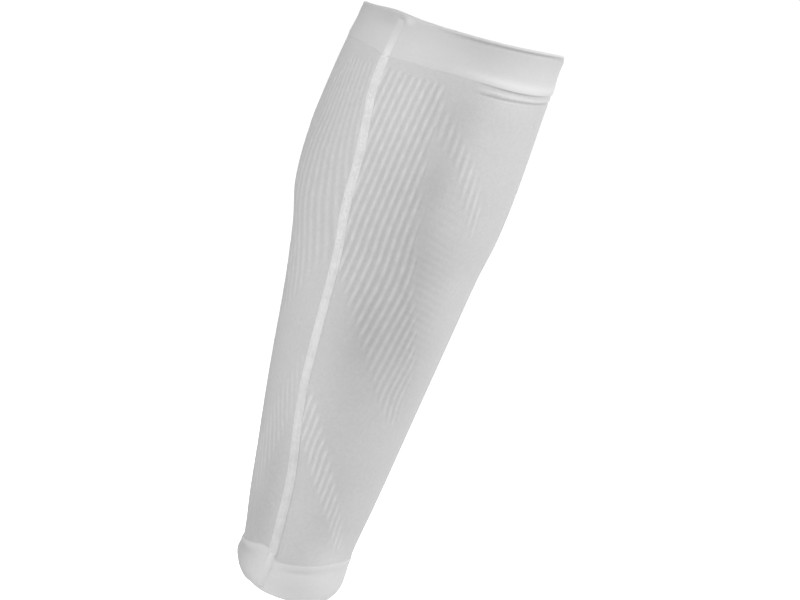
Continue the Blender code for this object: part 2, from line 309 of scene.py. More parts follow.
class SleeveStage(bpy.types.PropertyGroup):
    """Light on the sleeve, and the pale surroundings."""

    outer_power: FloatProperty(name="Outer Light", description="On the outer shin",
                               default=28.5, unit="POWER")
    back_power: FloatProperty(name="Back Light", description="On the back of the calf",
                              default=19.2, unit="POWER")
    inner_power: FloatProperty(name="Inner Light", description="On the inner side", default=4.4, unit="POWER")
    shin_power: FloatProperty(name="Shin Light", description="On the inner shin", default=22.0, unit="POWER")
    surround: FloatProperty(name="Surround", description="Light from all round", default=0.283)
    floor_gap: FloatProperty(name="Floor Gap", description="From the floor to the hem",
                             default=0.35, unit="LENGTH")


def form():
    return bpy.context.scene.sleeve_form


def finish_values():
    return bpy.context.scene.sleeve_finish


def smooth_column(rows, column, heights, along="height"):
    """A column of a table at many heights, on a smooth curve through its rows."""
    known = np.array([getattr(row, along) for row in rows], float)
    values = np.array([getattr(row, column) for row in rows], float)
    slopes = np.empty(len(rows))
    slopes[1:-1] = (values[2:] - values[:-2]) / (known[2:] - known[:-2])
    slopes[0] = (values[1] - values[0]) / (known[1] - known[0])
    slopes[-1] = (values[-1] - values[-2]) / (known[-1] - known[-2])
    heights = np.clip(heights, known[0], known[-1])
    i = np.clip(np.searchsorted(known, heights, side="right") - 1, 0, len(rows) - 2)
    span = known[i + 1] - known[i]
    t = (heights - known[i]) / span
    from_start = values[i] * (2 * t**3 - 3 * t**2 + 1) + slopes[i] * span * (t**3 - 2 * t**2 + t)
    to_end = values[i + 1] * (3 * t**2 - 2 * t**3) + slopes[i + 1] * span * (t**3 - t**2)
    return from_start + to_end


def smooth_step(start, end, values):
    t = np.clip((values - start) / (end - start), 0.0, 1.0)
    return t * t * (3 - 2 * t)


def window(values, rise, fall):
    """1 between a ramp up and a ramp down, and 0 outside them."""
    return smooth_step(*rise, values) * (1 - smooth_step(*fall, values))


def bump(values, middle, reach):
    """A smooth hump, 1 at the middle and near 0 past its reach."""
    return np.exp(-(((values - middle) / reach) ** 2))


def half_sizes(levels):
    """Half the width and half the depth of the leg's section at each level."""
    share = levels / form().length
    ankle = smooth_column(SECTIONS, "ankle", share) * form().ankle_width
    calf = smooth_column(SECTIONS, "calf", share) * form().calf_width
    top = smooth_column(SECTIONS, "top", share) * form().top_width
    half_width = (ankle + calf + top) / 2
    return half_width, half_width * smooth_column(SECTIONS, "depth", share)


def mean_radius(levels):
    return sum(half_sizes(levels)) / 2


HEM_TURN = math.radians(130)
HEM_SLANT = ((-0.02, 0.06), (0.06, 0.24))
RIM_DIP_TURN = math.radians(222)
RIM_DIP_POWER = 4
RIM_START = (0.72, 0.94)
SWAY_START = (0.94, 1.0)

# Soft rises and sags of the rim: turn from the back line in degrees, reach in radians, rise in millimetres.
Sway = namedtuple("Sway", "turn reach rise")
RIM_SWAYS = (
    Sway(92, 0.6, 1.4),
    Sway(160, 0.4, -0.9),
    Sway(-12, 0.25, 1.2),
)


def rim_shift(angles, levels):
    """How far the cloth lies above its own level: the hem tilts, and the rim tilts, dips and sways."""
    share = levels / form().length
    hem = form().hem_tilt * np.cos(angles - HEM_TURN) * window(share, *HEM_SLANT)
    dip = ((1 + np.cos(angles - RIM_DIP_TURN)) / 2) ** RIM_DIP_POWER
    rim = (form().rim_tilt * np.sin(angles) - form().rim_dip * dip) * smooth_step(*RIM_START, share)
    sway = sum(part.rise * bump(angles, math.radians(part.turn), part.reach) for part in RIM_SWAYS)
    return hem + rim + sway * MM * smooth_step(*SWAY_START, share)


def foot_level(arc):
    """Level of the top cuff's foot at arcs from the back line."""
    return form().length - form().top_cuff - MM * smooth_column(FOOT_DIPS, "shift", arc / MM, "around")


def low_edge_level(arc):
    """Level of the bottom cuff's upper edge at arcs from the back line."""
    return form().bottom_cuff + MM * smooth_column(EDGE_RISES, "shift", arc / MM, "around")


def leg_points(angles, levels, out):
    """Points at angles round the leg from the back, at levels, so far out of the leg's form."""
    share = levels / form().length
    half_width, half_depth = half_sizes(levels)
    side = smooth_column(SECTIONS, "side", share) * form().calf_width
    back = smooth_column(SECTIONS, "back", share) * form().calf_width
    fuller = 1 + form().egg * np.cos(angles)
    x = side + (half_width + out) * np.sin(angles) * fuller
    y = -back - (half_depth + out) * np.cos(angles)
    return np.stack([x, y, levels + rim_shift(angles, levels)], axis=-1)


def seam_aside(levels):
    return form().seam_wander * smooth_column(SEAM_PATH, "aside", levels / form().length)


SEAM_REACH = 0.020


def drawn_aside(around, levels):
    """How far the cloth beside the seam goes with it."""
    return seam_aside(levels) * np.exp(-((around / SEAM_REACH) ** 2))


def inside_depth(x, y, corners):
    """How far points lie inside an outline, or below zero outside it, in millimetres."""
    nearest = np.full(x.shape, 1000.0)
    inside = np.zeros(x.shape, bool)
    for start, end in zip(corners, corners[1:] + corners[:1]):
        across, up = end.around - start.around, end.height - start.height
        share = ((x - start.around) * across + (y - start.height) * up) / (across**2 + up**2)
        share = np.clip(share, 0, 1)
        gap = np.hypot(x - start.around - share * across, y - start.height - share * up)
        nearest = np.minimum(nearest, gap)
        if up:
            spans = (start.height > y) != (end.height > y)
            inside ^= spans & (x < start.around + across * (y - start.height) / up)
    return np.where(inside, nearest, -nearest)


FAINT_RIB = 0.7
CLEAR_GAIN = 0.3
CREST_RAMP = (0.20, 0.97)
CREST_SHARE = 0.90

# How ragged a rib's crest is: share of its height, length in millimetres, and shift from rib to rib.
Ripple = namedtuple("Ripple", "share length shift")
CREST_RIPPLES = (
    Ripple(0.12, 2.3, 2.4),
    Ripple(0.10, 1.4, -1.7),
)


def ribbed_knit(arc, levels, side):
    """How ribbed the knit is, the wave of its ribs and how much fuller it is, on one side of the seam."""
    ribbed = np.zeros(arc.shape)
    wave = np.zeros(arc.shape)
    lift = np.zeros(arc.shape)
    height = levels / MM
    distance = arc * side / MM
    taper = form().rib_end / MM
    for zone in ZONES:
        if zone.side != side:
            continue
        crest = smooth_column(zone.courses, "crest", height)
        pitch = smooth_column(zone.courses, "pitch", height)
        place = (distance - crest) / pitch
        own_crest = crest + np.round(place) * pitch
        depth = inside_depth(own_crest, height, zone.corners)
        present = zone.strength * smooth_step(-0.5 * taper, taper, depth)
        present = present * (FAINT_RIB + CLEAR_GAIN * smooth_step(zone.faint, zone.clear, height))
        crisp = smooth_step(*CREST_RAMP, 0.5 + 0.5 * np.cos(2 * math.pi * place))
        rib = np.round(place)
        ragged = sum(part.share * np.sin(height / part.length + part.shift * rib) for part in CREST_RIPPLES)
        wave = np.where(present > ribbed, crisp * (CREST_SHARE + ragged), wave)
        lift = np.where(present > ribbed, zone.lift, lift)
        ribbed = np.maximum(ribbed, present)
    return ribbed, wave, lift * ribbed


def bent_grid(columns, rows, shape):
    """A grid bent by shape, which takes shares across and up from 0 to 1. It gives the points, their places
    on the cloth for the UV map, and how full the knit is there with painted light and shade on top. Edges
    that meet are joined."""
    mesh = bmesh.new()
    bmesh.ops.create_grid(mesh, x_segments=columns, y_segments=rows, size=0.5)
    flat = np.array([point.co[:2] for point in mesh.verts]) + 0.5
    places, on_cloth, full = shape(flat[:, 0], flat[:, 1])
    mesh.verts.index_update()
    cloth = mesh.loops.layers.uv.new("cloth")
    for face in mesh.faces:
        for corner in face.loops:
            corner[cloth].uv = on_cloth[corner.vert.index]
    fullness = mesh.verts.layers.float.new("fullness")
    for point, place, value in zip(mesh.verts, places, full):
        point.co = place
        point[fullness] = value
    bmesh.ops.remove_doubles(mesh, verts=mesh.verts[:], dist=0.00001)
    bmesh.ops.recalc_face_normals(mesh, faces=mesh.faces[:])
    return mesh


def finished(name, shape, material, nodes):
    """Makes a mesh a piece of the object in place of some nodes of the frame."""
    mesh = bpy.data.meshes.new(name)
    shape.to_mesh(mesh)
    shape.free()
    mesh.shade_smooth()
    mesh.materials.append(material)
    piece = bpy.data.objects.new(name, mesh)
    bpy.context.scene.collection.objects.link(piece)
    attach(piece, "root")
    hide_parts(*nodes)
    return piece


class Signal:
    """A socket in a material's nodes. Arithmetic on it adds Math nodes, and node adds any other kind."""

    def __init__(self, tree, socket=None):
        self.tree = tree
        self.socket = socket

    def node(self, kind, settings=None, inputs=None, out=0):
        made = self.tree.nodes.new(kind)
        for name, value in (settings or {}).items():
            setattr(made, name, value)
        for name, value in (inputs or {}).items():
            if isinstance(value, Signal):
                self.tree.links.new(value.socket, made.inputs[name])
            else:
                made.inputs[name].default_value = value
        return Signal(self.tree, made.outputs[out])

    def math(self, operation, *terms):
        return self.node("ShaderNodeMath", {"operation": operation}, dict(enumerate(terms)))

    def __add__(self, other):
        return self.math("ADD", self, other)

    def __sub__(self, other):
        return self.math("SUBTRACT", self, other)

    def __rsub__(self, other):
        return self.math("SUBTRACT", other, self)

    def __mul__(self, other):
        return self.math("MULTIPLY", self, other)

    __radd__ = __add__
    __rmul__ = __mul__

    def mix(self, low, high):
        """A colour from low to high as this value goes from 0 to 1."""
        inputs = {"Factor": self, 6: low, 7: high}
        return self.node("ShaderNodeMix", {"data_type": "RGBA"}, inputs, out=2)


STITCH_DEPTH = 0.0003


def opaque(colour):
    return (*colour, 1.0)


def knit_surface(name, roughness, sheen):
    """A new material with a Principled shader, as its nodes' start and the shader."""
    material = bpy.data.materials.new(name)
    material.use_nodes = True
    shader = material.node_tree.nodes["Principled BSDF"]
    shader.inputs["Roughness"].default_value = roughness
    shader.inputs["Sheen Weight"].default_value = sheen
    shader.inputs["Sheen Roughness"].default_value = 0.5
    shader.inputs["Specular IOR Level"].default_value = 0.25
    return material, Signal(material.node_tree), shader


def knit_stitches(start, course_length):
    """Height of a plain knit from 0 to 1: columns of V stitches."""
    uv = start.node("ShaderNodeUVMap", {"uv_map": "cloth"})
    across = start.node("ShaderNodeSeparateXYZ", None, {0: uv}, out=0) * finish_values().wales
    up = start.node("ShaderNodeSeparateXYZ", None, {0: uv}, out=1) * (1 / course_length)
    from_middle = across.math("PINGPONG", across, 0.5)
    legs = (up + from_middle * 1.3) * (2 * math.pi)
    leg = legs.math("SINE", legs) * 0.5 + 0.5
    groove = from_middle.math("SINE", from_middle * math.pi)
    return groove * (leg * 0.6 + 0.4)


def soft_noise(start, scale):
    """Noise fixed to the piece, so many spots to a metre."""
    place = start.node("ShaderNodeTexCoord", out=3)
    return start.node("ShaderNodeTexNoise", None, {"Vector": place, "Scale": scale, "Detail": 2.0})


def knit_material(name, thin, full, mottle, bump_strength, roughness=0.85):
    """Knit whose colour goes from thin to full with the cloth's fullness, which also carries painted light
    and shade, a little uneven.
    """
    material, start, shader = knit_surface(name, roughness, 0.1)
    fullness = start.node("ShaderNodeAttribute", {"attribute_name": "fullness"}, out=2)
    stitches = knit_stitches(start, finish_values().course)
    cloudy = soft_noise(start, 70.0)
    grain = soft_noise(start, 480.0)
    fine = soft_noise(start, 1100.0)
    uneven = (cloudy - 0.5) * 0.4 + (grain - 0.5) + (fine - 0.5) * 0.8 + (stitches - 0.35) * 0.3
    tone = fullness + uneven * mottle
    colour = tone.mix(opaque(thin), opaque(full))
    relief = stitches + fine * 0.4
    raised = {"Strength": bump_strength, "Distance": STITCH_DEPTH, "Height": relief}
    normal = start.node("ShaderNodeBump", None, raised)
    links = material.node_tree.links
    links.new(colour.socket, shader.inputs["Base Color"])
    links.new(normal.socket, shader.inputs["Normal"])
    return material


BACK_COLUMNS = 240
SHIN_COLUMNS = 50
BACK_SHARE = 0.52
BODY_OUTER_ROWS = 270
BODY_INNER_ROWS = 20
BODY_TOP_SHARE = 0.035
BODY_TOP_ROWS = 0.11
CUFF_TUCK = 0.0004
PLAIN_KNIT = 0.575
# The knit is drawn lighter on the ribs' crests and darker in their valleys: painted highlight and painted
# shade laid over the ribs' relief.
LIT_RIB_CREST = 0.78
SHADED_RIB_VALLEY = 0.44

# Soft patches of painted light and painted shade, where the knit is drawn lighter or darker for how light
# falls on the leg: middles and reaches in millimetres.
ShadingPatch = namedtuple("ShadingPatch", "around height reach_round reach_up change")
LIGHT_AND_SHADE_PATCHES = (
    ShadingPatch(49, 215, 9, 60, -0.16),
    ShadingPatch(46, 252, 8, 18, -0.08),
    ShadingPatch(42, 288, 12, 12, -0.10),
    ShadingPatch(56, 168, 12, 28, -0.14),
    ShadingPatch(27, 162, 13, 26, -0.20),
    ShadingPatch(-6, 62, 9, 36, -0.22),
    ShadingPatch(-16, 32, 12, 22, -0.14),
    ShadingPatch(19, 50, 11, 30, 0.18),
    ShadingPatch(30, 96, 16, 22, 0.05),
    ShadingPatch(70, 305, 22, 9, 0.12),
    ShadingPatch(-30, 195, 22, 40, 0.06),
    ShadingPatch(38, 26, 13, 14, 0.22),
    ShadingPatch(15, 285, 20, 25, 0.08),
    ShadingPatch(72, 275, 20, 30, 0.06),
    ShadingPatch(10, 118, 16, 22, 0.06),
    ShadingPatch(-25, 255, 25, 45, -0.07),
    ShadingPatch(25, 235, 18, 40, -0.05),
    ShadingPatch(64, 142, 13, 28, -0.10),
    ShadingPatch(64, 205, 10, 22, -0.04),
    ShadingPatch(82, 200, 14, 35, 0.05),
)


def column_shares(across):
    """Shares round the leg from -1 to 1 for even shares across the grid, closer together at the back."""
    reach = BACK_COLUMNS / (BACK_COLUMNS + SHIN_COLUMNS)
    even = 2 * across - 1
    return np.interp(even, [-1, -reach, reach, 1], [-1, -BACK_SHARE, BACK_SHARE, 1])


# The crease under the top cuff: ramps in millimetres round from the back line, and its ridge and groove in
# millimetres below the cuff's foot.
CREASE_SPAN = ((44, 58), (108, 138))
CREASE_EASES = (92, 115)
CREASE_RIDGE = 3.3
CREASE_GROOVE = 5.4
GROOVE_RISES = (60, 90)


def crease_relief(arc, levels):
    """The crease that the top cuff presses into the knit under it, on the outer side."""
    distance = arc / MM
    below = (foot_level(arc) - levels) / MM
    present = window(distance, *CREASE_SPAN)
    ridge = present * (1 - 0.6 * smooth_step(*CREASE_EASES, distance))
    groove = CREASE_GROOVE - 0.5 * smooth_step(*GROOVE_RISES, distance)
    return ridge * bump(below, CREASE_RIDGE, 1.0) - 0.9 * present * bump(below, groove, 0.65)


def body_rows(up):
    """The share of the height at which each row of the body's grid lies, and whether its face is outside."""
    rows = BODY_OUTER_ROWS + BODY_INNER_ROWS
    row = np.round(up * rows)
    outer = (row <= BODY_OUTER_ROWS) | (row == rows)
    upward = np.interp(row / BODY_OUTER_ROWS, [0, 1 - BODY_TOP_ROWS, 1], [0, 1 - BODY_TOP_SHARE, 1])
    downward = (rows - 1 - row) / (BODY_INNER_ROWS - 2)
    return np.where(row == rows, 0.0, np.where(outer, upward, np.clip(downward, 0, 1))), outer


def body_knit_and_shading(arc, levels, ribbed, wave, lift, crease):
    """How full the body's knit is: painted shade between its ribs and in the crease, painted highlight on the
    crests and the crease's ridge, soft patches of painted light and shade, and a faint slanted texture.
    """
    distance = arc / MM
    height = levels / MM
    full = PLAIN_KNIT + ribbed * (SHADED_RIB_VALLEY + (LIT_RIB_CREST - SHADED_RIB_VALLEY) * wave - PLAIN_KNIT)
    # Painted shade in the crease's groove and painted highlight on its ridge.
    full = full + lift + 0.32 * np.minimum(crease, 0.0) + 0.16 * np.maximum(crease, 0.0)
    # Soft patches of painted light and painted shade.
    for patch in LIGHT_AND_SHADE_PATCHES:
        reach = bump(distance, patch.around, patch.reach_round) * bump(height, patch.height, patch.reach_up)
        full = full + patch.change * reach
    slant = np.sin(2.7 * height + 1.9 * distance) * np.sin(1.3 * height - 2.3 * distance)
    return full + 0.11 * slant * bump(distance, 60, 13) * bump(height, 195, 60)


def body_shape(across, up):
    """The knit tube: up its outer face and down its inner face."""
    share, outer = body_rows(up)
    low = form().bottom_cuff - CUFF_TUCK
    high = form().length - form().top_cuff + CUFF_TUCK
    levels = low + (high - low) * share
    radius = mean_radius(levels)
    turn = column_shares(across)
    around = turn * math.pi * radius
    arc = around + drawn_aside(around, levels)
    outer_side = np.array(ribbed_knit(arc, levels, OUTER))
    inner_side = np.array(ribbed_knit(arc, levels, INNER))
    ribbed, wave, lift = np.where(around > 0, outer_side, inner_side)
    crease = crease_relief(arc, levels)
    relief = ribbed * wave * form().rib_height + crease * form().crease
    out = np.where(outer, relief, -form().wall)
    on_cloth = np.stack([(turn + 1) / 2, levels], axis=-1)
    full = body_knit_and_shading(arc, levels, ribbed, wave, lift, crease)
    return leg_points(arc / radius, levels, out), on_cloth, full


class SLEEVE_OT_body(bpy.types.Operator):
    """Knits the ribbed tube between the two cuffs"""

    bl_idname = "sleeve.body"
    bl_label = "Ribbed Body"

    def execute(self, context):
        look = finish_values()
        knit = knit_material("body_cloth", look.body_thin_and_shaded, look.body_full_and_lit, 0.22, 0.35)
        cloth = bent_grid(BACK_COLUMNS + SHIN_COLUMNS, BODY_OUTER_ROWS + BODY_INNER_ROWS, body_shape)
        finished("ribbed_body", cloth, knit, ["body"])
        return {"FINISHED"}


# A cuff's two ends come together at the shin. The rim's sag and bead, the foot's level and the soft waves
# aren't quite the same on both sides of it, so the ends lie a little apart there and aren't joined.
CUFF_COLUMNS = 260
CUFF_ROWS = 140
CUFF_KNIT = 0.47


# Outline of a folded cuff, all the way round its band: shares of its height, and of its wall outwards.
Fold = namedtuple("Fold", "level out")
TOP_FOLD = (
    Fold(0.0, -0.35),
    Fold(0.0, -0.18),
    Fold(0.01, -0.05),
    Fold(0.035, 0.0),
    Fold(0.3, 0.0),
    Fold(0.6, 0.0),
    Fold(0.9, 0.0),
    Fold(0.965, 0.0),
    Fold(0.99, -0.15),
    Fold(1.0, -0.5),
    Fold(0.99, -0.85),
    Fold(0.965, -1.0),
    Fold(0.9, -1.0),
    Fold(0.5, -1.0),
    Fold(0.1, -1.0),
    Fold(0.02, -0.97),
    Fold(0.0, -0.85),
)
BOTTOM_FOLD = (
    Fold(1.0, -0.35),
    Fold(1.0, -0.15),
    Fold(0.99, -0.04),
    Fold(0.96, 0.0),
    Fold(0.7, 0.0),
    Fold(0.3, 0.0),
    Fold(0.08, 0.0),
    Fold(0.03, -0.08),
    Fold(0.01, -0.2),
    Fold(0.0, -0.5),
    Fold(0.01, -0.8),
    Fold(0.03, -0.92),
    Fold(0.08, -1.0),
    Fold(0.5, -1.0),
    Fold(0.9, -1.0),
    Fold(0.98, -0.97),
    Fold(1.0, -0.85),
)


def walk_fold(up, fold, wall):
    """Levels and outs along a cuff's outline, at shares of its whole way round, so that its ends meet."""
    share = np.round(up * CUFF_ROWS) % CUFF_ROWS / CUFF_ROWS
    levels = [step.level for step in (*fold, fold[0])]
    outs = [wall * step.out for step in (*fold, fold[0])]
    steps = np.hypot(np.diff(levels), np.diff(outs))
    reached = np.concatenate([[0], np.cumsum(steps)]) / steps.sum()
    return np.interp(share, reached, levels), np.interp(share, reached, outs)


RIM_GROOVE = 0.0189

# Ramps of the top cuff, in millimetres round from the back line or above its foot.
LOOSE_START = (30, 75)
LOOSE_EASES = (86, 112)
LOOSE_END = (125, 170)
SHIN_SIDE = ((88, 112), (130, 165))
FLARE_FADES = (0.0, 7.5)
TUCK_FADES = (0.0, 4.0)
BEAD_START = (6, 40)
BEAD_EASES = (92, 112)
BEAD_END = (130, 180)
CORNER_START = (18.0, 21.0)

# The pucker where the seam meets the rim, in millimetres: its place, its height there and how it slants.
PUCKER_AROUND = -5.0
PUCKER_HEIGHT = 18.0
PUCKER_SLANT = -0.5


def pucker_height(distance):
    """Height of the pucker's fold above the cuff's foot, at distances from the back line."""
    return PUCKER_HEIGHT + PUCKER_SLANT * (distance - PUCKER_AROUND)


def top_cuff_face(arc, above):
    """How far out the top cuff's outer face lies, at arcs from the back line and heights above its foot."""
    sizes = form()
    distance = arc / MM
    height = above / MM
    loose = smooth_step(*LOOSE_START, distance) * (1 - 0.8 * smooth_step(*LOOSE_EASES, distance))
    loose = loose * (1 - smooth_step(*LOOSE_END, distance))
    shin_side = window(distance, *SHIN_SIDE)
    flare = sizes.flare * (loose + 0.6 * shin_side) * (1 - smooth_step(*FLARE_FADES, height))
    proud = sizes.cuff_proud * (1 - 0.85 * (1 - loose) * (1 - smooth_step(*TUCK_FADES, height)))
    hollow = -0.0003 * bump(height, 11, 5)
    bead = 0.2 + 0.8 * smooth_step(*BEAD_START, distance) * (1 - smooth_step(*BEAD_END, distance))
    bead = bead * (1 - 0.55 * smooth_step(*BEAD_EASES, distance))
    groove = RIM_GROOVE / MM
    roll = bead * MM * (0.22 * bump(height, groove + 1.4, 0.8) - 0.70 * bump(height, groove, 0.65))
    tuck = -0.15 * MM * bump(distance, PUCKER_AROUND, 3.4) * bump(height, pucker_height(distance), 1.5)
    puff = 0.45 * MM * bump(distance, -0.5, 3.6) * bump(height, 18.8, 2.8)
    waves = 0.12 * MM * np.sin(distance / 9.0 + height / 7.0) * np.sin(distance / 23.0)
    corner = -0.9 * MM * shin_side * smooth_step(*CORNER_START, height)
    return proud + flare + hollow + roll + tuck + puff + waves + corner


def top_cuff_knit_and_shading(distance, level, above):
    """The top cuff's knit tone, nearly all of it painted light and shade: painted shade on the inner side,
    towards the rim, beside the seam under the groove, in the rim's groove and in the pucker's fold; painted
    highlight on the lit foot, over the bead and the rim, and on the puff; and darker round towards the shin.
    """
    # Painted shade: shade darkens the inner side, and the knit darkens towards the rim and beside the seam
    # under the groove. It is also darker round towards the shin.
    shade = (1 - smooth_step(-25, 15, distance)) * smooth_step(-170, -80, distance)
    full = CUFF_KNIT - 0.20 * smooth_step(0.25, 1.0, level) - 0.16 * shade
    full = full - 0.16 * bump(distance, -13, 9) * bump(above, 0.0165, 4 * MM)
    full = full - 0.09 * smooth_step(82, 105, distance) * (1 - smooth_step(125, 165, distance))
    # Painted highlight along the lit roll of the foot.
    lit = window(distance, (20, 60), (90, 150)) + 0.5 * bump(distance, 58, 20)
    full = full + 0.27 * bump(level, 0.14, 0.11) * lit
    # Painted shade in the rim's groove, and painted highlight over the bead and the rim.
    full = full - 0.30 * bump(above, RIM_GROOVE, 0.7 * MM) * smooth_step(*BEAD_START, distance)
    full = full + 0.42 * smooth_step(RIM_GROOVE + 0.7 * MM, form().top_cuff, above)
    # Painted shade in the pucker's fold, and painted highlight on the puff beside it.
    full = full - 0.35 * bump(distance, PUCKER_AROUND, 3.0) * bump(above / MM, pucker_height(distance), 1.0)
    return full + 0.28 * bump(distance, -0.5, 2.8) * bump(above, 0.0185, 2.0 * MM)


def top_cuff_shape(across, up):
    """The top cuff's band: up its outer face from a rolled foot, over the rim and down inside."""
    sizes = form()
    height = sizes.top_cuff
    wall = sizes.cuff_wall / height
    level, depth = walk_fold(up, TOP_FOLD, wall)
    angles = (2 * across - 1) * math.pi
    arc = angles * mean_radius(sizes.length - height * (1 - level))
    place = sizes.length - (sizes.length - foot_level(arc)) * (1 - level)
    outside = smooth_step(-1.0, -0.4, depth / wall)
    above = level * height
    out = depth * height + top_cuff_face(arc, above) * outside
    on_cloth = np.stack([across, place], axis=-1)
    return leg_points(angles, place, out), on_cloth, top_cuff_knit_and_shading(arc / MM, level, above)


# Ramps of the bottom cuff, in millimetres round from the back line, counted inwards on its inner side.
OUTER_FLAT = ((35, 58), (75, 98))
INNER_BULGE = ((8, 34), (60, 92))
STRAIGHT_BACK = ((-8, 8), (38, 60))
HEM_RISE = ((-22, 18), (60, 95))


def bottom_cuff_face(arc, level):
    """How far out the bottom cuff's outer face lies, at arcs from the back line and shares of its height."""
    sizes = form()
    distance = arc / MM
    outer_side = window(distance, *OUTER_FLAT)
    inner_side = window(-distance, *INNER_BULGE)
    straight = 0.9 * window(distance, *STRAIGHT_BACK)
    swell = np.sin(math.pi * np.minimum(level + 0.12, 1.0)) ** 2
    swell = swell + straight * np.where(level < 0.38, 1 - swell, 0.0)
    bulge = sizes.bulge * swell * (1 - 0.9 * outer_side) + 1.3 * MM * inner_side * bump(level, 0.62, 0.26)
    curl = sizes.hem_curl * np.maximum(1 - level / 0.42, 0.0) ** 2.4 * (1 - straight)
    curl = curl + sizes.inner_pull * inner_side * (1 - smooth_step(0.05, 0.75, level))
    lip = 0.30 * MM * bump(level, 0.90, 0.09)
    groove = 0.5 * MM * bump(distance, 21, 8) * bump(level, 0.76, 0.07)
    inner_groove = 0.25 * MM * bump(distance, -22, 8) * bump(level, 0.78, 0.08)
    waves = 0.10 * MM * np.sin(distance / 5.0) * np.sin(level * 5.0)
    proud = sizes.cuff_proud * smooth_step(0.0, 0.3, level) * (1 - 0.6 * smooth_step(0.8, 1.0, level))
    return proud + bulge - curl + lip - groove - inner_groove + waves


def bottom_cuff_knit_and_shading(distance, level, outer_face):
    """The bottom cuff's knit tone, nearly all of it painted light and shade: painted shade on the inner side,
    along its upper edge and under the lip by the seam, and painted light on the far inner side, near the hem
    and on the lip; the knit is also lighter beside the seam.
    """
    # Painted shade on the inner side of the seam, with a faint painted light on its outer side.
    at_back = 1 - smooth_step(65, 95, np.abs(distance))
    full = CUFF_KNIT + at_back * (0.02 * smooth_step(0, 40, distance) - 0.33 * smooth_step(-3, 22, -distance))
    # Painted light on the far inner side, where the cuff turns away from the lamps.
    full = full + 0.34 * bump(distance, -36, 9) * bump(level, 0.75, 0.28)
    # Painted shade along the upper edge, where the cuff meets the body.
    full = full - 0.30 * smooth_step(0.965, 1.0, level) * outer_face
    # Painted light near the hem on the outer side; the knit is also lighter beside the seam.
    full = full + 0.12 * (1 - smooth_step(0.05, 0.40, level)) * bump(distance, 22, 18) * outer_face
    full = full + 0.10 * bump(distance, 12, 14)
    # Painted highlight on the lip by the seam, and painted shade under it.
    return full + bump(distance, -20, 14) * (0.26 * bump(level, 0.93, 0.07) - 0.10 * bump(level, 0.76, 0.10))


def bottom_cuff_shape(across, up):
    """The bottom cuff's band: down its outer face from its upper edge, round the hem and up inside."""
    sizes = form()
    height = sizes.bottom_cuff
    wall = sizes.cuff_wall / height
    level, depth = walk_fold(up, BOTTOM_FOLD, wall)
    angles = (2 * across - 1) * math.pi
    arc = angles * mean_radius(level * height)
    distance = arc / MM
    hem_rise = 3.0 * MM * window(-distance, *HEM_RISE)
    place = level * low_edge_level(arc) + hem_rise * (1 - level)
    out = depth * height + bottom_cuff_face(arc, level)
    outer_face = smooth_step(-0.6, -0.3, depth / wall)
    on_cloth = np.stack([across, place], axis=-1)
    return leg_points(angles, place, out), on_cloth, bottom_cuff_knit_and_shading(distance, level, outer_face)


class SLEEVE_OT_cuffs(bpy.types.Operator):
    """Folds the cuff at each end"""

    bl_idname = "sleeve.cuffs"
    bl_label = "Folded Cuffs"

    def execute(self, context):
        look = finish_values()
        knit = knit_material("cuff_cloth", look.cuff_thin_and_shaded, look.cuff_full_and_lit, 0.12, 0.15)
        top = bent_grid(CUFF_COLUMNS, CUFF_ROWS, top_cuff_shape)
        finished("folded_top_cuff", top, knit, ["top_cuff"])
        bottom = bent_grid(CUFF_COLUMNS, CUFF_ROWS, bottom_cuff_shape)
        finished("folded_bottom_cuff", bottom, knit, ["bottom_cuff"])
        return {"FINISHED"}


# Half of a seam's outline from its buried edge to its middle: shares of half its width and of its rise.
SeamStep = namedtuple("SeamStep", "aside rise")
FLAT_SEAM = (
    SeamStep(1.00, -0.60),
    SeamStep(0.97, 0.25),
    SeamStep(0.88, 0.62),
    SeamStep(0.72, 0.86),
    SeamStep(0.45, 0.97),
    SeamStep(0.15, 1.00),
)
SOFT_SEAM = (
    SeamStep(1.00, -0.90),
    SeamStep(0.85, 0.02),
    SeamStep(0.68, 0.30),
    SeamStep(0.50, 0.62),
    SeamStep(0.30, 0.88),
    SeamStep(0.10, 1.00),
)
SEAM_ROWS = 260
CUFF_SEAM_ROWS = 40
TAPE_OVERLAP = 0.001
TAPE_BELOW_RIM = 0.0035
TAPE_ABOVE_HEM = 0.004
BOTTOM_TAPE_WIDTH = 0.0056


def thread_fullness(up):
    """How full the seam's thread is, at shares of its way up the body."""
    return 0.75 + 0.2 * smooth_step(0, 0.5, up)


def seam_strip(outline, low, high, width, rise, under, full, rows):
    """A strip along the seam's path between two levels, on a surface that lies out by under."""
    half = [(step.aside, step.rise) for step in outline]
    corners = [(-aside, up) for aside, up in half] + list(reversed(half))
    asides = np.array([aside for aside, up in corners])
    rises = np.array([up for aside, up in corners])

    def shape(across, up):
        k = np.round(across * len(corners)).astype(int) % len(corners)
        levels = low + (high - low) * up
        around = seam_aside(levels) + asides[k] * width(up) / 2
        out = under(around, levels) + rises[k] * rise(up)
        on_cloth = np.stack([around, levels], axis=-1)
        return leg_points(around / mean_radius(levels), levels, out), on_cloth, full(up)

    strip = bent_grid(len(corners), rows, shape)
    bmesh.ops.holes_fill(strip, edges=strip.edges[:], sides=len(corners))
    bmesh.ops.recalc_face_normals(strip, faces=strip.faces[:])
    return strip


STITCH_PITCH = 0.00115
STITCH_REACH = 0.0023
THREAD_RADIUS = 0.00022
THREAD_SIDES = 6
STEPS_PER_STITCH = 7


